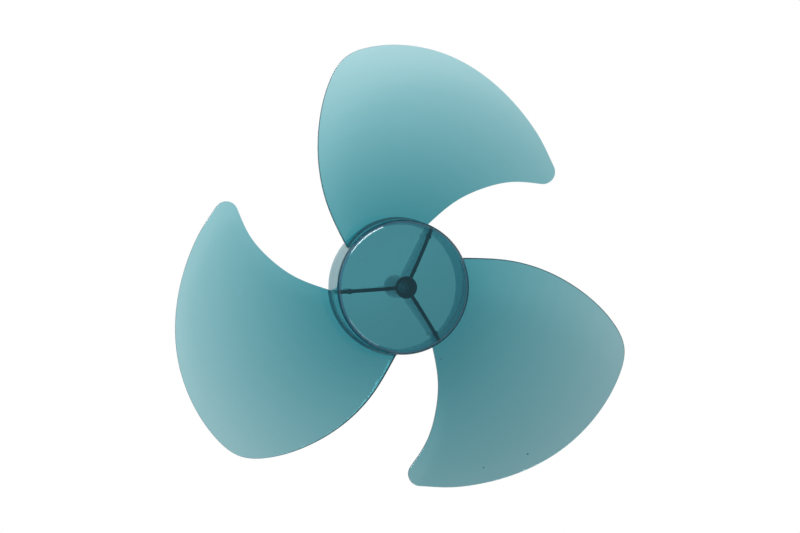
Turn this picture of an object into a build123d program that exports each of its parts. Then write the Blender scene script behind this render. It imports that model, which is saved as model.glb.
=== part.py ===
from build123d import *
from math import atan2, cos, hypot, radians, sin, sqrt
import os

# Axial fan impeller, injection moulded in one piece from translucent styrene
# acrylonitrile: a cup-shaped hub with a domed front, three ribs and a shaft boss
# inside it, and three wide forward-swept blades.  Sizes are in millimetres.
# The shaft runs along Z, the domed front faces +Z, and the origin is where the
# bore's wall begins, at its mouth.  Seen from the front, the impeller turns clockwise.

# Hub cup: a domed front, a rounded front corner and a skirt that is open behind
hub_diameter = 95.1  # over the skirt at the front corner
skirt_taper = 0.3  # how much smaller the skirt's radius is at the open rim
wall = 2.2
dome_top = 36.3  # above the bore's mouth
dome_radius = 148.0
corner_radius = 5.0
rim_drop = 6.0  # how far the open rim stands behind the bore's mouth
rim_edge_radius = 0.6
seam_angle = 162.0  # where the cup's turned surfaces close, between two blades

# Shaft boss, its blind bore and the slot across its mouth for the shaft's drive pin
bore_diameter = 8.0
bore_depth = 22.0
bore_lead_in = 0.6  # cone round the mouth, behind the bore's wall
boss_diameter = 16.4  # at its mouth
boss_draft = 0.7  # degrees, the boss narrows towards the dome
slot_width = 3.2
slot_depth = 4.8
slot_angle = 94.0  # square to one rib

# Ribs between the boss and the skirt, with round pads for the ejector pins
rib_count = 3
rib_angle = 64.0
rib_thickness = 2.6
rib_height_at_boss = 7.0  # of the rib's rear edge above the bore's mouth
rib_height_at_skirt = 10.5
pad_stand = 0.6  # how far a pad stands behind its rib
pads = [(13.3, 3.2), (39.3, 4.0)]  # distance from the axis, diameter

# Gate mark at the middle of the dome
gate_diameter = 3.4
gate_depth = 0.3
gate_stub_diameter = 1.4

# Blades: at radius r and turned by psi from the blade's middle line, the middle
# surface stands at  height + pitch * psi + camber * psi**2  above the bore's
# mouth, and each of the three changes evenly from the hub to the tip circle
blade_count = 3
tip_radius = 170.0
middle_line = 90.0
height_at_hub, height_at_tip = 5.9, 19.5
pitch_at_hub, pitch_at_tip = 9.2, 27.0  # for each radian
camber_at_hub, camber_at_tip = 6.4, 15.7  # for each radian squared
thickness_at_hub, thickness_at_tip = 3.2, 1.9
blade_edge_radius = 0.8
root_fillet = 1.8

# The blade's outline in plan: each point as its share of the way from the skirt
# to the tip circle and its direction from the axis, and the round leading nose
trailing_root, leading_root = 146.0, 63.4
trailing_run, leading_run = 119.0, -138.0  # headings of the two edges at the skirt
outer_edge = [
    (0.262, 133.3),
    (0.500, 124.5),
    (0.688, 117.5),
    (0.861, 110.7),
    (0.968, 104.8),
    (0.999, 97.6),
    (0.997, 88.4),
    (0.971, 77.4),
    (0.912, 64.3),
    (0.841, 50.5),
    (0.810, 44.4),
]
nose_place = (0.700, 37.2)
nose_radius = 8.7
nose_start, nose_sweep = 26.0, -123.0
leading_edge = [(0.526, 41.0), (0.375, 47.6), (0.215, 54.2)]

hub_radius = hub_diameter / 2
rim_radius = hub_radius - skirt_taper
root_radius = hub_radius - wall / 2
root_share = (root_radius - hub_radius) / (tip_radius - hub_radius)

# Parting line of the mould: it runs close behind each blade's root and slants down
# the skirt to the next one, and behind it the skirt stands back a little
parting_step = 0.3
parting_gap = 0.4  # between the root's fillet and the parting line
root_runs = 4  # straight runs of the parting line along one root


def heading(angle):
    """Plan direction at an angle from X."""
    return (cos(radians(angle)), sin(radians(angle)))


def on_blade(share, angle):
    """Plan position at a share of the way from skirt to tip circle, in a direction."""
    radius = hub_radius + share * (tip_radius - hub_radius)
    return (radius * cos(radians(angle)), radius * sin(radians(angle)))


def from_hub_to_tip(at_hub, at_tip, x, y):
    """A value that changes evenly from the hub to the tip circle."""
    share = (hypot(x, y) - hub_radius) / (tip_radius - hub_radius)
    return at_hub + (at_tip - at_hub) * share


def blade_height(x, y):
    """Height of the blade's middle surface above the bore's mouth."""
    psi = atan2(y, x) - radians(middle_line)
    height = from_hub_to_tip(height_at_hub, height_at_tip, x, y)
    pitch = from_hub_to_tip(pitch_at_hub, pitch_at_tip, x, y)
    camber = from_hub_to_tip(camber_at_hub, camber_at_tip, x, y)
    return height + pitch * psi + camber * psi**2


def dome_height(distance, inset):
    """Height of the dome's outer skin, moved in by inset, at a distance from the axis."""
    return dome_top - dome_radius + sqrt((dome_radius - inset) ** 2 - distance**2)


def cup_section(inset):
    """Half section of what lies under the cup's outer skin once that is moved in by inset."""
    side = hub_radius - inset
    shoulder = dome_height(side, inset)
    with BuildSketch() as section:
        with BuildLine():
            skirt = Line((rim_radius - inset, -rim_drop), (side, shoulder))
            front = RadiusArc(skirt @ 1, (0, dome_top - inset), -(dome_radius - inset))
            Polyline(front @ 1, (0, -rim_drop), skirt @ 0)
        make_face()
        corner = section.vertices().sort_by_distance((side, shoulder))[0]
        fillet(corner, radius=corner_radius - inset)
    return section.sketch


def sleeve(start_angle, start_height, end_angle, end_height):
    """Thin sleeve round the skirt between two directions, up to a slanting edge."""
    start = Vector(hub_radius, 0, start_height).rotate(Axis.Z, start_angle)
    end = Vector(hub_radius, 0, end_height).rotate(Axis.Z, end_angle)
    outward = Vector(1, 0, 0).rotate(Axis.Z, (start_angle + end_angle) / 2)
    slant = Plane(origin=(start + end) / 2, x_dir=outward, z_dir=outward.cross(end - start))
    with BuildPart() as ring:
        with BuildSketch(Plane.XZ.rotated((0, 0, start_angle))):
            with BuildLine():
                Polyline(
                    (rim_radius - parting_step, -rim_drop),
                    (hub_radius - parting_step, dome_height(hub_radius, 0)),
                    (hub_radius + wall, dome_height(hub_radius, 0)),
                    (hub_radius + wall, -rim_drop),
                    close=True,
                )
            make_face()
        revolve(axis=Axis.Z, revolution_arc=end_angle - start_angle)
        split(bisect_by=slant, keep=Keep.BOTTOM)
    return ring.part


cup_outside = cup_section(0)
cup_cavity = cup_section(wall)
cup_mid_wall = cup_section(wall / 2)

# One blade: a sheet lofted through upright sections and cut to its outline
sheet_near, sheet_far = 0.4 * hub_radius, 1.05 * tip_radius
sheet_left, sheet_right = -0.45 * tip_radius, 0.75 * tip_radius
sheet_sections, section_points = 5, 6
with BuildPart() as blade:
    for section in range(sheet_sections):
        y = sheet_near + (sheet_far - sheet_near) * section / (sheet_sections - 1)
        with BuildSketch(Plane.XZ.offset(-y)):
            with BuildLine():
                upper, lower = [], []
                for point in range(section_points):
                    x = sheet_left + (sheet_right - sheet_left) * point / (section_points - 1)
                    half = from_hub_to_tip(thickness_at_hub, thickness_at_tip, x, y) / 2
                    upper.append((x, blade_height(x, y) + half))
                    lower.append((x, blade_height(x, y) - half))
                front_face = Spline(*upper)
                rear_face = Spline(*lower)
                Line(front_face @ 0, rear_face @ 0)
                Line(front_face @ 1, rear_face @ 1)
            make_face()
    loft()
    with BuildSketch(Plane.XY.offset(-tip_radius)):
        with BuildLine():
            nose = CenterArc(on_blade(*nose_place), nose_radius, nose_start, nose_sweep)
            outer = Spline(
                on_blade(root_share, trailing_root),
                *[on_blade(*place) for place in outer_edge],
                nose @ 0,
                tangents=[heading(trailing_run), nose % 0],
            )
            leading = Spline(
                nose @ 1,
                *[on_blade(*place) for place in leading_edge],
                on_blade(root_share, leading_root),
                tangents=[nose % 1, heading(leading_run)],
            )
            RadiusArc(leading @ 1, outer @ 0, -root_radius)
        make_face()
    extrude(amount=2 * tip_radius, mode=Mode.INTERSECT)
    outline = blade.edges().sort_by(SortBy.LENGTH)[-2:]
    fillet(outline, radius=blade_edge_radius)

# Rib: an upright web from the axis to the skirt, with the ejector pads on it.
# Boss, ribs and pads all end in the middle of the cup's wall.
boss_radius = boss_diameter / 2
rib_slope = (rib_height_at_skirt - rib_height_at_boss) / (root_radius - boss_radius)
with BuildPart() as rib:
    with BuildSketch(Plane.XZ):
        with BuildLine():
            Polyline(
                (0, rib_height_at_boss),
                (boss_radius, rib_height_at_boss),
                (root_radius, rib_height_at_skirt),
                (root_radius, dome_top),
                (0, dome_top),
                close=True,
            )
        make_face()
        add(cup_mid_wall, mode=Mode.INTERSECT)
    extrude(amount=rib_thickness / 2, both=True)
    for distance, diameter in pads:
        pad_height = rib_height_at_boss + rib_slope * (distance - boss_radius) - pad_stand
        with BuildSketch(Plane.XY.offset(pad_height)):
            with Locations((distance, 0)):
                Circle(diameter / 2)
        extrude(amount=dome_height(distance, wall / 2) - pad_height)

# Set-back of the skirt: the sleeves under the parting line, from one root to the next
parting_drop = thickness_at_hub / 2 + root_fillet + parting_gap
parting_line = []
for run in range(root_runs + 1):
    angle = leading_root + (trailing_root - leading_root) * run / root_runs
    place = on_blade(0, angle)
    parting_line.append((angle, blade_height(*place) - parting_drop))
next_root = leading_root + 360 / blade_count
parting_line.append((next_root, parting_line[0][1]))
set_back = [sleeve(*parting_line[i], *parting_line[i + 1]) for i in range(root_runs + 1)]

with BuildPart() as fan_impeller:
    with BuildSketch(Plane.XZ.rotated((0, 0, seam_angle))):
        add(cup_outside)
        add(cup_cavity, mode=Mode.SUBTRACT)
    revolve(axis=Axis.Z)
    rim_edges = fan_impeller.faces().sort_by(Axis.Z)[0].edges()
    fillet(rim_edges, radius=rim_edge_radius)
    boss_mouth = Plane.XY.offset(-bore_lead_in)
    with BuildSketch(boss_mouth):
        Circle(boss_radius)
    extrude(amount=bore_lead_in + dome_top - wall / 2, taper=boss_draft)
    with PolarLocations(0, rib_count, start_angle=rib_angle):
        add(rib.part)

    # Bore: blind, with a lead-in round its mouth and the drive pin's slot across it
    with BuildSketch(boss_mouth):
        Circle(bore_diameter / 2)
    extrude(amount=bore_lead_in + bore_depth, mode=Mode.SUBTRACT)
    mouth = fan_impeller.faces().filter_by(Plane.XY).sort_by_distance(boss_mouth.origin)[0]
    chamfer(mouth.inner_wires()[0].edges(), length=bore_lead_in)
    with BuildSketch(boss_mouth):
        Rectangle(boss_diameter + wall, slot_width, rotation=slot_angle)
    extrude(amount=slot_depth, mode=Mode.SUBTRACT)

    # Gate mark: a shallow ring round the stub where the gate was twisted off
    with BuildSketch(Plane.XY.offset(dome_top - gate_depth)):
        Circle(gate_diameter / 2)
        Circle(gate_stub_diameter / 2, mode=Mode.SUBTRACT)
    extrude(amount=gate_depth, mode=Mode.SUBTRACT)

    # Blades, rooted in the skirt's wall, with a fillet along both faces of each root
    with PolarLocations(0, blade_count):
        add(blade.part)
    roots = [
        edge
        for edge in fan_impeller.edges().filter_by(GeomType.BSPLINE)
        if edge.length > hub_radius and hypot(edge.center().X, edge.center().Y) < hub_radius
    ]
    fillet(roots, radius=root_fillet)
    with PolarLocations(0, blade_count):
        add(set_back, mode=Mode.SUBTRACT)

fan_impeller.part.label = "fan_impeller"
os.makedirs("parts", exist_ok=True)
export_step(fan_impeller.part, "parts/fan_impeller.step")
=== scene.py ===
import math

import bmesh
import bpy
import numpy as np
from mathutils import Matrix, Vector, geometry


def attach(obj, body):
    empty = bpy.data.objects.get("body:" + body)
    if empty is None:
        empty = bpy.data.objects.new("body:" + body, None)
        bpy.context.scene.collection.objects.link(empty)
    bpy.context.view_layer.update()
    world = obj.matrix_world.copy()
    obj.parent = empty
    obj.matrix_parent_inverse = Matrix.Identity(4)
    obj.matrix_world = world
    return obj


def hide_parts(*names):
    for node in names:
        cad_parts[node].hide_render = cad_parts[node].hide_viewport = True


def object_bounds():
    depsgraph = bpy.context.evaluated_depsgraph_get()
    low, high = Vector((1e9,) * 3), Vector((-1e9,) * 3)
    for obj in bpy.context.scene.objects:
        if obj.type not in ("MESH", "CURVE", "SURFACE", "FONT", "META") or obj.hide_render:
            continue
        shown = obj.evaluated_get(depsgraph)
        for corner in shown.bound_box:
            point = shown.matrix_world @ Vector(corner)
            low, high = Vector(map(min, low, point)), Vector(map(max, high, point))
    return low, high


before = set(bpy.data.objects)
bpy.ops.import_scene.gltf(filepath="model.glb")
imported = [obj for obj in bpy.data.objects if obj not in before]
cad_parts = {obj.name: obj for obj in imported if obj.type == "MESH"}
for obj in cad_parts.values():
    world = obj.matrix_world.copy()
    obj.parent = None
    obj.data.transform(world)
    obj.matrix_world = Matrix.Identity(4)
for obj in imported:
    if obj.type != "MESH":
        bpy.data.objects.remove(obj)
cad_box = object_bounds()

# ---------------------------------------------------------------------------
# Hub cup
# The turned cup in the middle: a gently domed front, a rounded front corner and
# a skirt that is open behind.  Styrene acrylonitrile, 2.2 mm thick all over, with
# the gate's witness mark in the middle and the mould's parting step on the skirt.
# ---------------------------------------------------------------------------
MM = 0.001
HUB_RADIUS, RIM_RADIUS, WALL = 47.55, 47.25, 2.2
DOME_TOP, DOME_RADIUS, CORNER_RADIUS = 36.3, 148.0, 5.0
RIM_HEIGHT, RIM_EDGE = -6.0, 0.6
GATE_STUB, GATE_RING, GATE_DEPTH = 0.7, 1.7, 0.3
PARTING_STEP, PARTING_DROP = 0.3, 3.8
PARTING_EDGE, PARTING_LEAN = 0.04, 0.02  # the step's rounding, and how far it slopes
GATE_EDGE, GATE_LIP, GATE_LIP_RUN = 0.05, 0.04, 0.06
DOME_STEPS, CORNER_STEPS = 24, 16
INNER_DOME_STEPS, INNER_CORNER_STEPS = 16, 6
RIM_STEPS = 5
CUP_SIDES = 240

BLADE_COUNT, TIP_RADIUS, MIDDLE_LINE = 3, 170.0, 90.0
BLADE_HEIGHT = (5.9, 19.5)  # at the hub and at the tip circle, as for the next two
BLADE_PITCH = (9.2, 27.0)
BLADE_CAMBER = (6.4, 15.7)
LEADING_ROOT, TRAILING_ROOT = 63.4, 146.0


def hub_to_tip(pair, radius):
    """A value of the blade at a radius, changing evenly from the hub to the tip circle."""
    share = (radius - HUB_RADIUS) / (TIP_RADIUS - HUB_RADIUS)
    return pair[0] + (pair[1] - pair[0]) * share


def blade_height(radius, angle):
    """Height of the blade's middle surface at a radius and a direction in degrees."""
    psi = math.radians(angle - MIDDLE_LINE)
    return (
        hub_to_tip(BLADE_HEIGHT, radius)
        + hub_to_tip(BLADE_PITCH, radius) * psi
        + hub_to_tip(BLADE_CAMBER, radius) * psi * psi
    )


def parting_height(angle):
    """Height of the parting line on the skirt: behind a root, then slanting to the next."""
    turn = 360.0 / BLADE_COUNT
    angle = LEADING_ROOT + (angle - LEADING_ROOT) % turn
    if angle <= TRAILING_ROOT:
        return blade_height(HUB_RADIUS, angle) - PARTING_DROP
    along = (angle - TRAILING_ROOT) / (LEADING_ROOT + turn - TRAILING_ROOT)
    low = blade_height(HUB_RADIUS, TRAILING_ROOT) - PARTING_DROP
    high = blade_height(HUB_RADIUS, LEADING_ROOT) - PARTING_DROP
    return low + (high - low) * along


def dome_height(distance, inset):
    """Height of the dome's skin, moved in by inset, at a distance from the axis."""
    return DOME_TOP - DOME_RADIUS + math.sqrt((DOME_RADIUS - inset) ** 2 - distance ** 2)


def corner_centre(inset):
    """Centre of the front corner's round, in the half section."""
    away = DOME_RADIUS - CORNER_RADIUS
    side = HUB_RADIUS - CORNER_RADIUS
    return side, DOME_TOP - DOME_RADIUS + math.sqrt(away ** 2 - side ** 2)


def front_line(inset, dome_steps, corner_steps):
    """Half section of the front from near the axis over the corner, moved in by inset."""
    side, height = corner_centre(inset)
    start_tilt = math.asin(side / (DOME_RADIUS - CORNER_RADIUS))
    skirt_tilt = math.pi / 2 - math.atan2(HUB_RADIUS - RIM_RADIUS, height - RIM_HEIGHT)
    line = []
    for step in range(1, dome_steps + 1):
        tilt = start_tilt * step / dome_steps
        radius = (DOME_RADIUS - inset) * math.sin(tilt)
        line.append((radius, dome_height(radius, inset)))
    for step in range(1, corner_steps + 1):
        tilt = start_tilt + (skirt_tilt - start_tilt) * step / corner_steps
        round_radius = CORNER_RADIUS - inset
        across, up = round_radius * math.sin(tilt), round_radius * math.cos(tilt)
        line.append((side + across, height + up))
    return line


def new_mesh_object(name, points, faces):
    """A mesh object from points in millimetres, linked to the scene."""
    mesh = bpy.data.meshes.new(name)
    mesh.from_pydata([(x * MM, y * MM, z * MM) for x, y, z in points], [], faces)
    mesh.validate()
    made = bpy.data.objects.new(name, mesh)
    bpy.context.scene.collection.objects.link(made)
    return made


def turned(name, rings, sides, top=None, bottom=None):
    """A closed shell of rings: each gives (radius, height) at a direction in degrees."""
    points, faces = [], []
    for ring in rings:
        for side in range(sides):
            angle = 360.0 * side / sides
            radius, height = ring(angle) if callable(ring) else ring
            turn = math.radians(angle)
            points.append((radius * math.cos(turn), radius * math.sin(turn), height))
    for row in range(len(rings) - 1):
        for side in range(sides):
            after = (side + 1) % sides
            a, b = row * sides + side, row * sides + after
            faces.append((a, a + sides, b + sides, b))
    for pole, row in ((top, 0), (bottom, len(rings) - 1)):
        points.append((0, 0, pole))
        centre = len(points) - 1
        for side in range(sides):
            after = (side + 1) % sides
            edge = (row * sides + side, row * sides + after)
            faces.append((centre,) + (edge if row == 0 else edge[::-1]))
    return new_mesh_object(name, points, faces)


def skirt_point(height, inset):
    """Radius of the skirt's skin at a height, moved in by inset."""
    _, corner_height = corner_centre(0)
    share = (height - RIM_HEIGHT) / (corner_height - RIM_HEIGHT)
    return RIM_RADIUS + (HUB_RADIUS - RIM_RADIUS) * share - inset


def cup_rings():
    """The cup's skin from the gate mark over the front, down the skirt and back up inside."""
    rings = [(GATE_STUB * share, DOME_TOP) for share in (0.5, 0.9)]
    rings += [(GATE_STUB, DOME_TOP - GATE_EDGE), (GATE_STUB, DOME_TOP - GATE_DEPTH)]
    rings += [(GATE_RING, DOME_TOP - GATE_DEPTH)]
    rings += [(GATE_RING, dome_height(GATE_RING, 0) - GATE_LIP)]
    rings += [(GATE_RING + GATE_LIP_RUN, dome_height(GATE_RING + GATE_LIP_RUN, 0))]
    front = front_line(0, DOME_STEPS, CORNER_STEPS)
    rings += [place for place in front if place[0] > GATE_RING + 0.3]
    corner_end = rings[-1][1]
    for share in (0.3, 0.6, 0.85, 0.97):
        def above(angle, share=share):
            height = corner_end + (parting_height(angle) + PARTING_EDGE - corner_end) * share
            return skirt_point(height, 0), height
        rings.append(above)
    for inset, raised in ((0, PARTING_EDGE), (PARTING_EDGE, 0), (PARTING_STEP, -PARTING_LEAN)):
        def step_ring(angle, inset=inset, raised=raised):
            height = parting_height(angle)
            return skirt_point(height, inset), height + raised
        rings.append(step_ring)
    rim_start = RIM_HEIGHT + RIM_EDGE
    for share in (0.08, 0.5):
        def below(angle, share=share):
            height = parting_height(angle) + (rim_start - parting_height(angle)) * share
            return skirt_point(height, PARTING_STEP), height
        rings.append(below)
    outer = skirt_point(rim_start, PARTING_STEP)
    inner = skirt_point(rim_start, WALL)
    for step in range(RIM_STEPS + 1):
        turn = math.pi / 2 * step / RIM_STEPS
        radius = outer - RIM_EDGE * (1 - math.cos(turn))
        rings.append((radius, rim_start - RIM_EDGE * math.sin(turn)))
    for step in range(RIM_STEPS + 1):
        turn = math.pi / 2 * step / RIM_STEPS
        radius = inner + RIM_EDGE * (1 - math.sin(turn))
        rings.append((radius, rim_start - RIM_EDGE * math.cos(turn)))
    inside = front_line(WALL, INNER_DOME_STEPS, INNER_CORNER_STEPS)[::-1]
    for share in (0.1, 0.3, 0.55, 0.8):
        height = rim_start + (inside[0][1] - rim_start) * share
        rings.append((skirt_point(height, WALL), height))
    return rings + inside


cup = turned("cup", cup_rings(), CUP_SIDES, top=DOME_TOP, bottom=DOME_TOP - WALL)

# ---------------------------------------------------------------------------
# Shaft boss and bore
# A round boss, a little narrower towards the dome, with a blind bore for the
# motor's shaft, a lead-in cone and a slot across its mouth for the shaft's pin.
# ---------------------------------------------------------------------------
BOSS_RADIUS, BOSS_DRAFT = 8.2, 0.7
BORE_RADIUS, BORE_DEPTH, LEAD_IN = 4.0, 22.0, 0.6
SLOT_WIDTH, SLOT_DEPTH, SLOT_ANGLE = 3.2, 4.8, 94.0
BOSS_EDGE, BOSS_EDGE_STEPS, FACE_BORDER = 0.35, 4, 1.2
BOSS_SIDES = 96
boss_top = DOME_TOP - WALL / 2
boss_top_radius = BOSS_RADIUS - (LEAD_IN + boss_top) * math.tan(math.radians(BOSS_DRAFT))
boss_rings = [(boss_top_radius * share, boss_top) for share in (0.5, 1.0)]
for share in (0.25, 0.5, 0.75):
    height = boss_top + (-LEAD_IN - boss_top) * share
    boss_rings.append((boss_top_radius + (BOSS_RADIUS - boss_top_radius) * share, height))
for step in range(BOSS_EDGE_STEPS + 1):
    turn = math.pi / 2 * step / BOSS_EDGE_STEPS
    radius = BOSS_RADIUS - BOSS_EDGE * (1 - math.cos(turn))
    boss_rings.append((radius, BOSS_EDGE * (1 - math.sin(turn)) - LEAD_IN))
boss_rings.append((BORE_RADIUS + FACE_BORDER, -LEAD_IN))
boss_rings.append((BORE_RADIUS * 0.5, -LEAD_IN))
boss = turned("boss", boss_rings, BOSS_SIDES, top=boss_top, bottom=-LEAD_IN)

bore_rings = [(BORE_RADIUS, BORE_DEPTH), (BORE_RADIUS, BORE_DEPTH / 2), (BORE_RADIUS, 0.0)]
bore_rings += [(BORE_RADIUS + LEAD_IN, -LEAD_IN), (BORE_RADIUS + 2 * LEAD_IN, -2 * LEAD_IN)]
bore = turned("bore", bore_rings, BOSS_SIDES, top=BORE_DEPTH, bottom=-2 * LEAD_IN)

half_length, half_width = BOSS_RADIUS + WALL / 2, SLOT_WIDTH / 2
slot_corners = [
    (-half_length, -half_width),
    (half_length, -half_width),
    (half_length, half_width),
    (-half_length, half_width),
]
slot_points = [(x, y, z) for z in (-2 * LEAD_IN, SLOT_DEPTH - LEAD_IN) for x, y in slot_corners]
slot_faces = [(3, 2, 1, 0), (4, 5, 6, 7)]
slot_faces += [(0, 1, 5, 4), (1, 2, 6, 5), (2, 3, 7, 6), (3, 0, 4, 7)]
slot = new_mesh_object("slot", slot_points, slot_faces)
slot.data.transform(Matrix.Rotation(math.radians(SLOT_ANGLE), 4, "Z"))

# ---------------------------------------------------------------------------
# Ribs
# Three upright webs that tie the boss to the skirt and hold up the dome, each
# with two round pads where the mould's ejector pins pushed.
# ---------------------------------------------------------------------------
RIB_COUNT, RIB_ANGLE, RIB_THICKNESS = 3, 64.0, 2.6
RIB_AT_BOSS, RIB_AT_SKIRT = 7.0, 10.5
RIB_EDGE, RIB_EDGE_STEPS = 0.3, 4
RIB_IN_BOSS, RIB_SHORT_OF_END, RIB_STEPS = 2.2, 0.2, 24
PAD_STAND, PAD_IN_WALL, PAD_EDGE, PAD_BEVEL = 0.6, 0.1, 0.2, 0.06
PAD_SIDES = 32
PADS = ((13.3, 3.2), (39.3, 4.0))  # distance from the axis, and diameter
rib_end = HUB_RADIUS - WALL / 2
rib_slope = (RIB_AT_SKIRT - RIB_AT_BOSS) / (rib_end - BOSS_RADIUS)


def mid_wall_height(distance):
    """Height of the middle of the front's wall, over the dome and down the corner."""
    side, height = corner_centre(0)
    middle = CORNER_RADIUS - WALL / 2
    tangent = side + middle * math.sin(math.asin(side / (DOME_RADIUS - CORNER_RADIUS)))
    if distance <= tangent:
        return dome_height(distance, WALL / 2)
    return height + math.sqrt(max(middle ** 2 - (distance - side) ** 2, 0))


def rib_section(x):
    """The rib's outline across X at a distance from the axis, with its rear edges rounded."""
    low = RIB_AT_BOSS + rib_slope * (x - BOSS_RADIUS)
    high = mid_wall_height(x)
    half = RIB_THICKNESS / 2
    left = [(-half, high), (-half, (high + low) / 2)]
    for step in range(RIB_EDGE_STEPS + 1):
        turn = math.pi / 2 * step / RIB_EDGE_STEPS
        y = -half + RIB_EDGE * (1 - math.cos(turn))
        left.append((y, low + RIB_EDGE * (1 - math.sin(turn))))
    return [(x, y, z) for y, z in left + [(-y, z) for y, z in left[::-1]]]


rib_start = BOSS_RADIUS - RIB_IN_BOSS
points, faces = [], []
for step in range(RIB_STEPS + 1):
    along = (rib_end - RIB_SHORT_OF_END - rib_start) * step / RIB_STEPS
    points += rib_section(rib_start + along)
size = len(rib_section(rib_start))
for row in range(RIB_STEPS):
    for spot in range(size):
        a, b = row * size + spot, row * size + (spot + 1) % size
        faces.append((a, b, b + size, a + size))
faces.append(tuple(range(size))[::-1])
faces.append(tuple(RIB_STEPS * size + spot for spot in range(size)))
rib = new_mesh_object("rib", points, faces)

pad_objects = []
for distance, diameter in PADS:
    pad_height = RIB_AT_BOSS + rib_slope * (distance - BOSS_RADIUS) - PAD_STAND
    pad_top = mid_wall_height(distance + diameter / 2) - PAD_IN_WALL
    radius = diameter / 2
    rings = [(radius, pad_top), (radius, (pad_top + pad_height) / 2)]
    rings += [(radius, pad_height + PAD_EDGE)]
    rings += [(radius - PAD_BEVEL, pad_height + PAD_BEVEL), (radius - PAD_EDGE, pad_height)]
    pad = turned("pad", rings, PAD_SIDES, top=pad_top, bottom=pad_height)
    pad.data.transform(Matrix.Translation((distance * MM, 0, 0)))
    pad_objects.append(pad)

# ---------------------------------------------------------------------------
# Blades
# Three wide forward-swept sheets, moulded on the skirt.  They thin out from the
# root to the tip, their edges are rounded, and a cove joins each face to the skirt.
# ---------------------------------------------------------------------------
BLADE_THICKNESS = (3.2, 1.9)
BLADE_EDGE, ROOT_COVE = 0.8, 1.8
TRAILING_RUN, LEADING_RUN = 119.0, -138.0
OUTER_EDGE = (
    (0.262, 133.3), (0.500, 124.5), (0.688, 117.5), (0.861, 110.7), (0.968, 104.8), (0.999, 97.6),
    (0.997, 88.4), (0.971, 77.4), (0.912, 64.3), (0.841, 50.5), (0.810, 44.4),
)
NOSE_PLACE, NOSE_RADIUS, NOSE_START, NOSE_SWEEP = (0.700, 37.2), 8.7, 26.0, -123.0
LEADING_EDGE = ((0.526, 41.0), (0.375, 47.6), (0.215, 54.2))
NOSE_STEPS, ROOT_STEPS, EDGE_STEPS = 18, 60, 6
OUTLINE_STEP, GRID_STEP = 1.2, 2.6
COVE_START, COVE_SLOPE = 0.08, 0.4  # the cove starts inside the skirt, and goes on in it
COVE_RINGS = (-0.55, -0.25, -0.1, -0.04, 0.02, 0.1, 0.22, 0.4, 0.62, 0.9, 1.25, 1.7, 2.6, 4.0)
COVE_RING_STEPS, COVE_RING_MARGIN = 70, 4  # points on each ring, degrees past the root
GRID_START, ROOT_ZONE = 5.5, 5.0  # distances from the skirt
ROOT_CLEARANCE, CLEARANCE = 0.25, 0.8  # of the inner points from the outline
root_radius = HUB_RADIUS - WALL / 2
root_share = (root_radius - HUB_RADIUS) / (TIP_RADIUS - HUB_RADIUS)


def on_blade(share, angle):
    """Plan position at a share of the way from the skirt to the tip circle."""
    radius, turn = HUB_RADIUS + share * (TIP_RADIUS - HUB_RADIUS), math.radians(angle)
    return np.array((radius * math.cos(turn), radius * math.sin(turn)))


def heading(angle):
    """A step of length 1 in a direction in degrees."""
    return np.array((math.cos(math.radians(angle)), math.sin(math.radians(angle))))


def smooth_line(places, start, end, spacing):
    """A fair curve through places with the given headings at its ends, as even points."""
    places = np.array(places)
    chord = np.linalg.norm(np.diff(places, axis=0), axis=1)
    count = len(places)
    system, wanted = np.zeros((count, count)), np.zeros((count, 2))
    system[0, 0] = system[-1, -1] = 1
    wanted[0], wanted[-1] = start, end
    for i in range(1, count - 1):
        before, after = chord[i - 1], chord[i]
        system[i, i - 1], system[i, i], system[i, i + 1] = after, 2 * (before + after), before
        slope_before = (places[i] - places[i - 1]) / before * after
        slope_after = (places[i + 1] - places[i]) / after * before
        wanted[i] = 3 * (slope_before + slope_after)
    rate = np.linalg.solve(system, wanted)
    line = []
    for i in range(count - 1):
        steps = max(2, int(round(chord[i] / spacing)))
        for step in range(steps):
            t = step / steps
            line.append(
                (2 * t**3 - 3 * t**2 + 1) * places[i]
                + (t**3 - 2 * t**2 + t) * chord[i] * rate[i]
                + (3 * t**2 - 2 * t**3) * places[i + 1]
                + (t**3 - t**2) * chord[i] * rate[i + 1]
            )
    line.append(places[-1])
    return line


def blade_outline():
    """The blade's closed outline in plan, clockwise from its trailing root."""
    centre = on_blade(*NOSE_PLACE)
    nose = []
    for step in range(NOSE_STEPS + 1):
        nose.append(centre + NOSE_RADIUS * heading(NOSE_START + NOSE_SWEEP * step / NOSE_STEPS))
    into_nose, out_of_nose = heading(NOSE_START - 90), heading(NOSE_START + NOSE_SWEEP - 90)
    outer = [on_blade(root_share, TRAILING_ROOT)]
    outer += [on_blade(*place) for place in OUTER_EDGE] + [nose[0]]
    leading = [nose[-1]] + [on_blade(*place) for place in LEADING_EDGE]
    leading += [on_blade(root_share, LEADING_ROOT)]
    outline = smooth_line(outer, heading(TRAILING_RUN), into_nose, OUTLINE_STEP)
    outline += nose[1:-1]
    outline += smooth_line(leading, out_of_nose, heading(LEADING_RUN), OUTLINE_STEP)
    for step in range(1, ROOT_STEPS):
        angle = LEADING_ROOT + (TRAILING_ROOT - LEADING_ROOT) * step / ROOT_STEPS
        outline.append(on_blade(root_share, angle))
    return np.array(outline)


def cove(x, y):
    """How much the root's cove adds to each face, by the distance from the skirt."""
    away = math.hypot(x, y) - HUB_RADIUS + COVE_START
    if away >= ROOT_COVE:
        return 0.0
    if away <= 0:
        return ROOT_COVE - away * COVE_SLOPE
    return ROOT_COVE - math.sqrt(ROOT_COVE ** 2 - (ROOT_COVE - away) ** 2)


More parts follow.
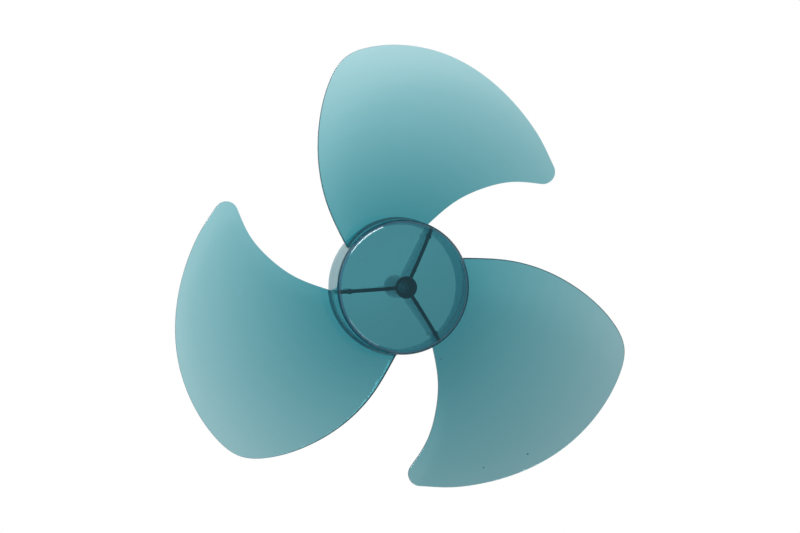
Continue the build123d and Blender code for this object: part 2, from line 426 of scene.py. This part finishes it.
def blade_skin(x, y, side, below_face):
    """Height of the blade's front (side 1) or rear (side -1) face, less below_face."""
    radius, angle = math.hypot(x, y), math.degrees(math.atan2(y, x))
    half = hub_to_tip(BLADE_THICKNESS, radius) / 2
    return blade_height(radius, angle) + side * (half + cove(x, y) - below_face)


outline = blade_outline()
ahead, behind = np.roll(outline, -1, axis=0), np.roll(outline, 1, axis=0)
run = ahead - behind
run /= np.linalg.norm(run, axis=1)[:, None]
inward = np.stack((run[:, 1], -run[:, 0]), axis=1)
at_root = np.hypot(outline[:, 0], outline[:, 1]) < root_radius + 0.01
inward[at_root] = 0  # the root isn't rounded
loops, points = [], []
for side in (1, -1):
    for step in range(EDGE_STEPS + 1):
        turn = math.pi / 2 * (step if side < 0 else EDGE_STEPS - step) / EDGE_STEPS
        inset = BLADE_EDGE * (1 - math.cos(turn))
        below = BLADE_EDGE * (1 - math.sin(turn))
        ring = outline + inward * inset
        loops.append(len(points))
        points += [(x, y, blade_skin(x, y, side, below)) for x, y in ring]
count = len(outline)
faces = []
for near, far in zip(loops, loops[1:]):
    for spot in range(count):
        after = (spot + 1) % count
        faces.append((near + spot, near + after, far + after, far + spot))

# Inner points of the two faces: close rings along the cove, and an even net beyond it
flat = outline + inward * BLADE_EDGE
inner = []
ring_span = TRAILING_ROOT - LEADING_ROOT + 2 * COVE_RING_MARGIN
for away in COVE_RINGS:
    for step in range(COVE_RING_STEPS + 1):
        angle = LEADING_ROOT - COVE_RING_MARGIN + ring_span * step / COVE_RING_STEPS
        inner.append(heading(angle) * (HUB_RADIUS + away))
row_step = GRID_STEP * math.sqrt(3) / 2
rows = int(2 * TIP_RADIUS / row_step)
for row in range(rows):
    for column in range(int(2 * TIP_RADIUS / GRID_STEP)):
        x = -TIP_RADIUS + (column + 0.5 * (row % 2)) * GRID_STEP
        y = row * row_step - TIP_RADIUS
        if math.hypot(x, y) > HUB_RADIUS + GRID_START:
            inner.append(np.array((x, y)))
inner = np.array(inner)


def inside_outline(places, border):
    """Which places lie inside a closed border."""
    crossings = np.zeros(len(places), dtype=int)
    for a, b in zip(border, np.roll(border, -1, axis=0)):
        spans = (a[1] > places[:, 1]) != (b[1] > places[:, 1])
        with np.errstate(divide="ignore", invalid="ignore"):
            cut = a[0] + (places[:, 1] - a[1]) * (b[0] - a[0]) / (b[1] - a[1])
        crossings += (spans & (places[:, 0] < cut)).astype(int)
    return crossings % 2 == 1


keep = inside_outline(inner, flat)
clear = np.full(len(inner), 1e9)
for place in flat:
    clear = np.minimum(clear, np.hypot(inner[:, 0] - place[0], inner[:, 1] - place[1]))
near_root = np.hypot(inner[:, 0], inner[:, 1]) < HUB_RADIUS + ROOT_ZONE
inner = inner[keep & (clear > np.where(near_root, ROOT_CLEARANCE, CLEARANCE))]
net = [Vector(place) for place in flat] + [Vector(place) for place in inner]
border = [(spot, (spot + 1) % count) for spot in range(count)]
net_points, _, net_faces, net_from, _, _ = geometry.delaunay_2d_cdt(net, border, [], 1, 1e-6)
for side, loop in ((1, loops[0]), (-1, loops[-1])):
    index = {}
    for spot, sources in enumerate(net_from):
        source = min(sources) if sources else None
        if source is not None and source < count:
            index[spot] = loop + source
        else:
            x, y = net_points[spot]
            index[spot] = len(points)
            points.append((x, y, blade_skin(x, y, side, 0)))
    for face in net_faces:
        corners = tuple(index[spot] for spot in face)
        faces.append(corners if side > 0 else corners[::-1])
blade = new_mesh_object("blade", points, faces)

# ---------------------------------------------------------------------------
# The moulding
# All of it comes out of the mould as one piece, so the cup, the boss, the ribs and
# the blades are joined into one closed skin and the bore and its slot are cut out.
# ---------------------------------------------------------------------------
SLIVER = 0.002  # corners closer than this, in millimetres, become one
SHARP_FROM = math.radians(38)
tree = bpy.data.node_groups.new("impeller moulding", "GeometryNodeTree")
links = tree.links
sockets = (
    ("Cup", "NodeSocketGeometry", None),
    ("Boss", "NodeSocketObject", boss),
    ("Rib", "NodeSocketObject", rib),
    ("Inner pad", "NodeSocketObject", pad_objects[0]),
    ("Outer pad", "NodeSocketObject", pad_objects[1]),
    ("Blade", "NodeSocketObject", blade),
    ("Bore", "NodeSocketObject", bore),
    ("Slot", "NodeSocketObject", slot),
    ("Ribs", "NodeSocketInt", RIB_COUNT),
    ("First rib", "NodeSocketFloat", math.radians(RIB_ANGLE)),
    ("Blades", "NodeSocketInt", BLADE_COUNT),
    ("Plastic", "NodeSocketMaterial", None),
)
identifiers = {}
for name, kind, _ in sockets:
    socket = tree.interface.new_socket(name, in_out="INPUT", socket_type=kind)
    identifiers[name] = socket.identifier
tree.interface.new_socket("Impeller", in_out="OUTPUT", socket_type="NodeSocketGeometry")
entry, leave = tree.nodes.new("NodeGroupInput"), tree.nodes.new("NodeGroupOutput")


def round_the_axis(shape, count, first):
    """Copies of a geometry evenly round the axis, the first at an angle."""
    row = tree.nodes.new("GeometryNodePoints")
    links.new(entry.outputs[count], row.inputs["Count"])
    step = tree.nodes.new("ShaderNodeMath")
    step.operation = "DIVIDE"
    step.inputs[0].default_value = 2 * math.pi
    links.new(entry.outputs[count], step.inputs[1])
    index = tree.nodes.new("GeometryNodeInputIndex")
    turn = tree.nodes.new("ShaderNodeMath")
    turn.operation = "MULTIPLY_ADD"
    links.new(index.outputs[0], turn.inputs[0])
    links.new(step.outputs[0], turn.inputs[1])
    if first:
        links.new(entry.outputs[first], turn.inputs[2])
    else:
        turn.inputs[2].default_value = 0
    rotation = tree.nodes.new("ShaderNodeCombineXYZ")
    links.new(turn.outputs[0], rotation.inputs["Z"])
    copies = tree.nodes.new("GeometryNodeInstanceOnPoints")
    links.new(row.outputs[0], copies.inputs["Points"])
    links.new(shape, copies.inputs["Instance"])
    links.new(rotation.outputs[0], copies.inputs["Rotation"])
    real = tree.nodes.new("GeometryNodeRealizeInstances")
    links.new(copies.outputs[0], real.inputs[0])
    return real.outputs[0]


def shape_of(name):
    """The geometry of the object in one of the group's inputs."""
    node = tree.nodes.new("GeometryNodeObjectInfo")
    links.new(entry.outputs[name], node.inputs["Object"])
    return node.outputs["Geometry"]


joined = tree.nodes.new("GeometryNodeMeshBoolean")
joined.operation, joined.solver = "UNION", "EXACT"
for shape in (
    entry.outputs["Cup"],
    shape_of("Boss"),
    round_the_axis(shape_of("Rib"), "Ribs", "First rib"),
    round_the_axis(shape_of("Inner pad"), "Ribs", "First rib"),
    round_the_axis(shape_of("Outer pad"), "Ribs", "First rib"),
    round_the_axis(shape_of("Blade"), "Blades", None),
):
    links.new(shape, joined.inputs["Mesh 2"])
cut = tree.nodes.new("GeometryNodeMeshBoolean")
cut.operation, cut.solver = "DIFFERENCE", "EXACT"
links.new(joined.outputs["Mesh"], cut.inputs["Mesh 1"])
for name in ("Bore", "Slot"):
    links.new(shape_of(name), cut.inputs["Mesh 2"])
closed = tree.nodes.new("GeometryNodeMergeByDistance")
closed.inputs["Distance"].default_value = SLIVER * MM
whole = tree.nodes.new("GeometryNodeRealizeInstances")
coated = tree.nodes.new("GeometryNodeSetMaterial")
links.new(cut.outputs["Mesh"], closed.inputs["Geometry"])
links.new(closed.outputs["Geometry"], whole.inputs[0])
links.new(whole.outputs[0], coated.inputs["Geometry"])
links.new(entry.outputs["Plastic"], coated.inputs["Material"])
links.new(coated.outputs[0], leave.inputs[0])

# Tinted plastic: clear styrene acrylonitrile dyed teal right through, so it is pale
# where it is thin and dark along its edges, ribs and skirt.  Moulded to a gloss, with
# faint flow marks, a trace of haze, and dust on its faces.  Its colour also holds
# painted shade, and it has a faint painted glow.
TINT, TINT_DENSITY = (0.10, 0.575, 0.61, 1.0), 410.0
# The root colour is partly painted shade; the hub and corner colours below are painted shade
ROOT_TINT_AND_SHADE, TIP_TINT = (0.24, 0.61, 0.66, 1.0), (0.92, 0.99, 1.0, 1.0)
HUB_PAINTED_SHADE = (0.2, 0.49, 0.53, 1.0)
CORNER_PAINTED_SHADE = (0.05, 0.2, 0.34, 1.0)
TINT_MARGIN = 0.15  # round the skirt's wall, in millimetres
# The corner's painted shade starts at this height
CORNER_FROM = DOME_TOP - WALL - 2 * CORNER_RADIUS + 2.5  # height where the corner's tint starts
CLARITY = 0.99  # the rest is a trace of haze
# A faint painted glow: the plastic gives off a little teal light of its own
INNER_GLOW_PAINTED, INNER_GLOW_STRENGTH = (0.0, 0.7, 1.0, 1.0), 0.03  # light caught and scattered inside
REFRACTION = 1.57
plastic = bpy.data.materials.new("tinted_plastic")
plastic.use_nodes = True
nodes, wires = plastic.node_tree.nodes, plastic.node_tree.links
shell = nodes["Principled BSDF"]
shell.inputs["Metallic"].default_value = 0.0
shell.inputs["Transmission Weight"].default_value = CLARITY
shell.inputs["IOR"].default_value = REFRACTION
# The painted glow goes in as the plastic's emission
shell.inputs["Emission Color"].default_value = INNER_GLOW_PAINTED
shell.inputs["Emission Strength"].default_value = INNER_GLOW_STRENGTH
inside = nodes.new("ShaderNodeVolumeAbsorption")
inside.inputs["Color"].default_value = TINT
inside.inputs["Density"].default_value = TINT_DENSITY
wires.new(inside.outputs[0], nodes["Material Output"].inputs["Volume"])

# The skin's colour pales from the blades' roots to their tips, partly for the thicker
# plastic at the roots and partly as painted shade under the blades near the hub
place = nodes.new("ShaderNodeTexCoord").outputs["Object"]
flat_place = nodes.new("ShaderNodeVectorMath")
flat_place.operation = "MULTIPLY"
flat_place.inputs[1].default_value = (1, 1, 0)
wires.new(place, flat_place.inputs[0])
from_axis = nodes.new("ShaderNodeVectorMath")
from_axis.operation = "LENGTH"
wires.new(flat_place.outputs[0], from_axis.inputs[0])
outwards = nodes.new("ShaderNodeMapRange")
outwards.inputs["From Min"].default_value = HUB_RADIUS * MM
outwards.inputs["From Max"].default_value = TIP_RADIUS * MM
wires.new(from_axis.outputs["Value"], outwards.inputs["Value"])
tint_and_shade = nodes.new("ShaderNodeMix")
tint_and_shade.data_type = "RGBA"
tint_and_shade.inputs["A"].default_value, tint_and_shade.inputs["B"].default_value = ROOT_TINT_AND_SHADE, TIP_TINT
wires.new(outwards.outputs[0], tint_and_shade.inputs["Factor"])

# Inside the skirt a darker colour is painted in as shade, and the darkest is painted on the
# rounded front corner, as the dark ring seen looking down the whole skirt
in_corner = nodes.new("ShaderNodeMath")
in_corner.operation = "COMPARE"
in_corner.inputs[1].default_value = (HUB_RADIUS - WALL / 2) * MM
in_corner.inputs[2].default_value = (WALL / 2 + TINT_MARGIN) * MM
wires.new(from_axis.outputs["Value"], in_corner.inputs[0])
height_of = nodes.new("ShaderNodeSeparateXYZ")
wires.new(place, height_of.inputs[0])
in_front = nodes.new("ShaderNodeMath")
in_front.operation = "GREATER_THAN"
in_front.inputs[1].default_value = CORNER_FROM * MM
wires.new(height_of.outputs["Z"], in_front.inputs[0])
corner = nodes.new("ShaderNodeMath")
corner.operation = "MULTIPLY"
wires.new(in_corner.outputs[0], corner.inputs[0])
wires.new(in_front.outputs[0], corner.inputs[1])
corner_shaded = nodes.new("ShaderNodeMix")
corner_shaded.data_type = "RGBA"
# Painted shade: inside the skirt the darker hub colour stands in for the shadow within the hub
in_hub = nodes.new("ShaderNodeMath")
in_hub.operation = "LESS_THAN"
in_hub.inputs[1].default_value = (HUB_RADIUS - WALL - TINT_MARGIN) * MM
wires.new(from_axis.outputs["Value"], in_hub.inputs[0])
hub_shaded = nodes.new("ShaderNodeMix")
hub_shaded.data_type = "RGBA"
wires.new(tint_and_shade.outputs["Result"], hub_shaded.inputs["A"])
hub_shaded.inputs["B"].default_value = HUB_PAINTED_SHADE
wires.new(in_hub.outputs[0], hub_shaded.inputs["Factor"])
wires.new(hub_shaded.outputs["Result"], corner_shaded.inputs["A"])
corner_shaded.inputs["B"].default_value = CORNER_PAINTED_SHADE
wires.new(corner.outputs[0], corner_shaded.inputs["Factor"])
tint_and_shade = corner_shaded

# Light on its way to the table goes straight through and takes the tint with it
path = nodes.new("ShaderNodeLightPath")
lighting = nodes.new("ShaderNodeMath")
lighting.operation = "MAXIMUM"
wires.new(path.outputs["Is Shadow Ray"], lighting.inputs[0])
wires.new(path.outputs["Is Diffuse Ray"], lighting.inputs[1])
passing = nodes.new("ShaderNodeBsdfTransparent")
surface = nodes.new("ShaderNodeMixShader")
wires.new(lighting.outputs[0], surface.inputs["Fac"])
wires.new(shell.outputs[0], surface.inputs[1])
wires.new(passing.outputs[0], surface.inputs[2])
wires.new(surface.outputs[0], nodes["Material Output"].inputs["Surface"])
half_way = nodes.new("ShaderNodeGamma")  # each of the two faces that light passes takes half
half_way.inputs["Gamma"].default_value = 0.5
wires.new(tint_and_shade.outputs["Result"], half_way.inputs["Color"])
wires.new(half_way.outputs["Color"], passing.inputs["Color"])

flow = nodes.new("ShaderNodeTexNoise")
flow.inputs["Scale"].default_value = 45.0
flow.inputs["Detail"].default_value = 4.0
flow.inputs["Distortion"].default_value = 1.2
wires.new(place, flow.inputs["Vector"])
shade = nodes.new("ShaderNodeMapRange")
shade.inputs["From Min"].default_value, shade.inputs["From Max"].default_value = 0.3, 0.7
shade.inputs["To Min"].default_value, shade.inputs["To Max"].default_value = 0.02, 0.08
wires.new(flow.outputs["Fac"], shade.inputs["Value"])
ripple = nodes.new("ShaderNodeBump")
ripple.inputs["Strength"].default_value = 0.004
ripple.inputs["Distance"].default_value = 0.2 * MM
wires.new(flow.outputs["Fac"], ripple.inputs["Height"])
wires.new(ripple.outputs[0], shell.inputs["Normal"])

# Dust: a few dark and pale flecks on the faces, each at its own place and size in millimetres
DARK_FLECKS = (
    (32.5, -51.5, 0.55), (94.0, -119.0, 0.6), (62.5, -128.5, 0.5),
    (-4.0, 24.5, 0.5), (28.0, -62.0, 0.4),
)
PALE_FLECKS = (
    (-47.5, -51.0, 0.5), (-20.0, -27.0, 0.5), (-108.0, -4.0, 0.55),
    (-31.0, 17.0, 0.35), (71.0, 9.0, 0.4),
)
DUST_TINT, DUST_FROST = (0.25, 0.3, 0.32, 1.0), 0.6


def flecks(spots):
    """1 on any of the flecks, else 0, looked at along the shaft."""
    total = None
    for x, y, size in spots:
        away = nodes.new("ShaderNodeVectorMath")
        away.operation = "DISTANCE"
        away.inputs[1].default_value = (x * MM, y * MM, 0)
        wires.new(flat_place.outputs[0], away.inputs[0])
        near = nodes.new("ShaderNodeMath")
        near.operation = "LESS_THAN"
        near.inputs[1].default_value = size * MM
        wires.new(away.outputs["Value"], near.inputs[0])
        if total is None:
            total = near.outputs[0]
            continue
        either = nodes.new("ShaderNodeMath")
        either.operation = "MAXIMUM"
        wires.new(total, either.inputs[0])
        wires.new(near.outputs[0], either.inputs[1])
        total = either.outputs[0]
    return total


marked = nodes.new("ShaderNodeMix")
marked.data_type = "RGBA"
wires.new(tint_and_shade.outputs["Result"], marked.inputs["A"])
marked.inputs["B"].default_value = DUST_TINT
wires.new(flecks(DARK_FLECKS), marked.inputs["Factor"])
wires.new(marked.outputs["Result"], shell.inputs["Base Color"])
dusted = nodes.new("ShaderNodeMath")
dusted.operation = "MAXIMUM"
frost = nodes.new("ShaderNodeMath")
frost.operation = "MULTIPLY"
frost.inputs[1].default_value = DUST_FROST
wires.new(flecks(PALE_FLECKS), frost.inputs[0])
wires.new(shade.outputs[0], dusted.inputs[0])
wires.new(frost.outputs[0], dusted.inputs[1])
wires.new(dusted.outputs[0], shell.inputs["Roughness"])

moulding = cup.modifiers.new("moulding", "NODES")
moulding.node_group = tree
for name, _, value in sockets:
    if value is not None:
        moulding[identifiers[name]] = value
moulding[identifiers["Plastic"]] = plastic
skin = bpy.data.meshes.new_from_object(cup.evaluated_get(bpy.context.evaluated_depsgraph_get()))
cup.modifiers.remove(moulding)
body = bmesh.new()
body.from_mesh(skin)
bmesh.ops.triangulate(body, faces=body.faces[:])
bmesh.ops.dissolve_degenerate(body, dist=SLIVER * MM, edges=body.edges[:])
body.verts.index_update()
corners_of = {}
for face in body.faces:
    corners_of.setdefault(frozenset(corner.index for corner in face.verts), []).append(face)
flaps = [face for same in corners_of.values() if len(same) > 1 for face in same]
bmesh.ops.delete(body, geom=flaps, context="FACES")  # two faces back to back shut in nothing
body.to_mesh(skin)
body.free()
skin.validate()
for form in (cup, boss, bore, slot, rib, *pad_objects, blade):
    bpy.data.objects.remove(form)
skin.shade_smooth()
skin.set_sharp_from_angle(angle=SHARP_FROM)
impeller = bpy.data.objects.new("impeller", skin)
bpy.context.scene.collection.objects.link(impeller)
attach(impeller, "root")
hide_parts("fan_impeller")

# ---------------------------------------------------------------------------
# Table top and background
# The impeller lies on its rim on a plain white table that runs into a white wall.
# The table is lit by the lamps and carries a soft painted glow, stronger on the window's side.
# ---------------------------------------------------------------------------
TABLE_HALF = 3.0
table_height = cad_box[0][2]
table_mesh = bpy.data.meshes.new("table")
table_corners = ((-1, -1), (1, -1), (1, 1), (-1, 1))
table_points = [(x * TABLE_HALF, y * TABLE_HALF, table_height) for x, y in table_corners]
table_mesh.from_pydata(table_points, [], [(0, 1, 2, 3)])
table = bpy.data.objects.new("table", table_mesh)
bpy.context.scene.collection.objects.link(table)

BRIGHT_SIDE = math.radians(120)
TABLE_PAINTED_LIGHT, GLOW_SHARE = (0.43, 1.07), 0.75
GLOW_REACH = 0.17  # metres from the shaft to where the glow is weakest and strongest
paint = bpy.data.materials.new("white table")
paint.use_nodes = True
nodes, wires = paint.node_tree.nodes, paint.node_tree.links
nodes.clear()
matt = nodes.new("ShaderNodeBsdfDiffuse")
grain = nodes.new("ShaderNodeTexNoise")
grain.inputs["Scale"].default_value = 60.0
tone = nodes.new("ShaderNodeValToRGB")
tone.color_ramp.elements[0].color = (0.86, 0.86, 0.86, 1)
tone.color_ramp.elements[1].color = (0.9, 0.9, 0.9, 1)
wires.new(nodes.new("ShaderNodeTexCoord").outputs["Object"], grain.inputs["Vector"])
wires.new(grain.outputs["Fac"], tone.inputs["Fac"])
wires.new(tone.outputs["Color"], matt.inputs["Color"])
# Painted light: the table glows for all but the camera's rays, brighter towards BRIGHT_SIDE
glow = nodes.new("ShaderNodeEmission")
across = nodes.new("ShaderNodeVectorMath")
across.operation = "DOT_PRODUCT"
across.inputs[1].default_value = (math.cos(BRIGHT_SIDE), math.sin(BRIGHT_SIDE), 0)
wires.new(nodes.new("ShaderNodeTexCoord").outputs["Object"], across.inputs[0])
falling = nodes.new("ShaderNodeMapRange")
falling.inputs["From Min"].default_value = -GLOW_REACH
falling.inputs["From Max"].default_value = GLOW_REACH
falling.inputs["To Min"].default_value, falling.inputs["To Max"].default_value = TABLE_PAINTED_LIGHT
wires.new(across.outputs["Value"], falling.inputs["Value"])
wires.new(falling.outputs[0], glow.inputs["Strength"])
under = nodes.new("ShaderNodeMixShader")
under.inputs["Fac"].default_value = GLOW_SHARE
wires.new(matt.outputs[0], under.inputs[1])
wires.new(glow.outputs[0], under.inputs[2])

# To the camera it is plain white, and takes no shadow
white = nodes.new("ShaderNodeEmission")
white.inputs["Color"].default_value = (1, 1, 1, 1)
both = nodes.new("ShaderNodeMixShader")
wires.new(nodes.new("ShaderNodeLightPath").outputs["Is Camera Ray"], both.inputs["Fac"])
wires.new(under.outputs[0], both.inputs[1])
wires.new(white.outputs[0], both.inputs[2])
wires.new(both.outputs[0], nodes.new("ShaderNodeOutputMaterial").inputs["Surface"])
table_mesh.materials.append(paint)

WALL_LIGHT, CEILING_LIGHT, CEILING_GLOSS = 1.15, 0.1, 0.25
WINDOW_SIDE = math.radians(116)
world = bpy.data.worlds.new("white room")
world.use_nodes = True
bpy.context.scene.world = world
nodes, wires = world.node_tree.nodes, world.node_tree.links
path = nodes.new("ShaderNodeLightPath")
round_about = nodes.new("ShaderNodeTexCoord")
upward = nodes.new("ShaderNodeSeparateXYZ")
wires.new(round_about.outputs["Generated"], upward.inputs[0])


def by_height(low, high, start, end):
    """Brightness of the room from the horizon up to the ceiling, by the sine of the height."""
    ramp = nodes.new("ShaderNodeMapRange")
    ramp.inputs["From Min"].default_value, ramp.inputs["From Max"].default_value = start, end
    ramp.inputs["To Min"].default_value, ramp.inputs["To Max"].default_value = low, high
    wires.new(upward.outputs["Z"], ramp.inputs["Value"])
    return ramp.outputs[0]


direct = nodes.new("ShaderNodeMath")
direct.operation = "MAXIMUM"
wires.new(path.outputs["Is Glossy Ray"], direct.inputs[0])
wires.new(path.outputs["Is Transmission Ray"], direct.inputs[1])
towards_window = nodes.new("ShaderNodeVectorMath")
towards_window.operation = "DOT_PRODUCT"
towards_window.inputs[1].default_value = (math.cos(WINDOW_SIDE), math.sin(WINDOW_SIDE), 0)
wires.new(round_about.outputs["Generated"], towards_window.inputs[0])
one_sided = nodes.new("ShaderNodeMapRange")
one_sided.inputs["From Min"].default_value = -0.3
one_sided.inputs["To Min"].default_value, one_sided.inputs["To Max"].default_value = 0.1, 1.9
wires.new(towards_window.outputs["Value"], one_sided.inputs["Value"])
room = nodes.new("ShaderNodeMath")
room.operation = "MULTIPLY"
wires.new(by_height(WALL_LIGHT, CEILING_LIGHT, 0.45, 0.85), room.inputs[0])
wires.new(one_sided.outputs[0], room.inputs[1])
strength = nodes.new("ShaderNodeMix")
wires.new(direct.outputs[0], strength.inputs["Factor"])
wires.new(room.outputs[0], strength.inputs["A"])
wires.new(by_height(1.0, CEILING_GLOSS, 0.05, 0.6), strength.inputs["B"])
backdrop = nodes.new("ShaderNodeMix")
backdrop.inputs["B"].default_value = 1.0
wires.new(path.outputs["Is Camera Ray"], backdrop.inputs["Factor"])
wires.new(strength.outputs["Result"], backdrop.inputs["A"])
wires.new(backdrop.outputs["Result"], nodes["Background"].inputs["Strength"])
nodes["Background"].inputs["Color"].default_value = (1, 1, 1, 1)

# ---------------------------------------------------------------------------
# Lamps
# Two soft panels stand in front of the impeller, so that they glint on the front
# corner of the hub and along the blades' edges.
# ---------------------------------------------------------------------------
hub_front = Vector((0, 0, DOME_TOP * MM))


def soft_panel(name, azimuth, elevation, distance, width, height, power):
    """A rectangular lamp that faces the hub from a direction in degrees."""
    lamp = bpy.data.lights.new(name, "AREA")
    lamp.shape, lamp.size, lamp.size_y, lamp.energy = "RECTANGLE", width, height, power
    panel = bpy.data.objects.new(name, lamp)
    turn, rise = math.radians(azimuth), math.radians(elevation)
    level = math.cos(rise)
    away = Vector((math.cos(turn) * level, math.sin(turn) * level, math.sin(rise)))
    panel.location = hub_front + away * distance
    panel.rotation_euler = away.to_track_quat("Z", "Y").to_euler()
    bpy.context.scene.collection.objects.link(panel)


soft_panel("upper panel", 118, 38, 1.5, 1.0, 0.42, 18)
soft_panel("lower panel", 240, 38, 1.5, 0.9, 0.36, 2.5)

# ---------------------------------------------------------------------------
# Camera
# It looks down on the front from a little to one side, with the blade that stands
# along +Y pointing up.
# ---------------------------------------------------------------------------
SIDE_TILT, UP_TILT = math.radians(13.25), math.radians(-1.2)
MM_PER_PIXEL, CAMERA_PIXELS, IMAGE_WIDTH = 0.7013, 6000.0, 800
VIEW_CENTRE = (3.1, -20.6)  # the hub's place in the frame, right of and above its middle
VIEW_HEIGHT = 25.0
side_cos, side_sin = math.cos(SIDE_TILT), math.sin(SIDE_TILT)
up_cos, up_sin = math.cos(UP_TILT), math.sin(UP_TILT)
around_y = Matrix(((side_cos, 0, side_sin), (0, 1, 0), (-side_sin, 0, side_cos)))
around_x = Matrix(((1, 0, 0), (0, up_cos, up_sin), (0, -up_sin, up_cos)))
to_world = (around_x @ around_y).transposed()
lens = bpy.data.cameras.new("camera")
lens.sensor_width = 36.0
lens.lens = lens.sensor_width * CAMERA_PIXELS / IMAGE_WIDTH
lens.clip_end = 20.0
camera = bpy.data.objects.new("camera", lens)
offset = to_world @ Vector((-VIEW_CENTRE[0], -VIEW_CENTRE[1], CAMERA_PIXELS)) * MM_PER_PIXEL
stand = Matrix.Translation((offset + Vector((0, 0, VIEW_HEIGHT))) * MM)
camera.matrix_world = stand @ to_world.to_4x4()
bpy.context.scene.collection.objects.link(camera)
bpy.context.scene.camera = camera
bpy.context.scene.view_settings.view_transform = "Standard"
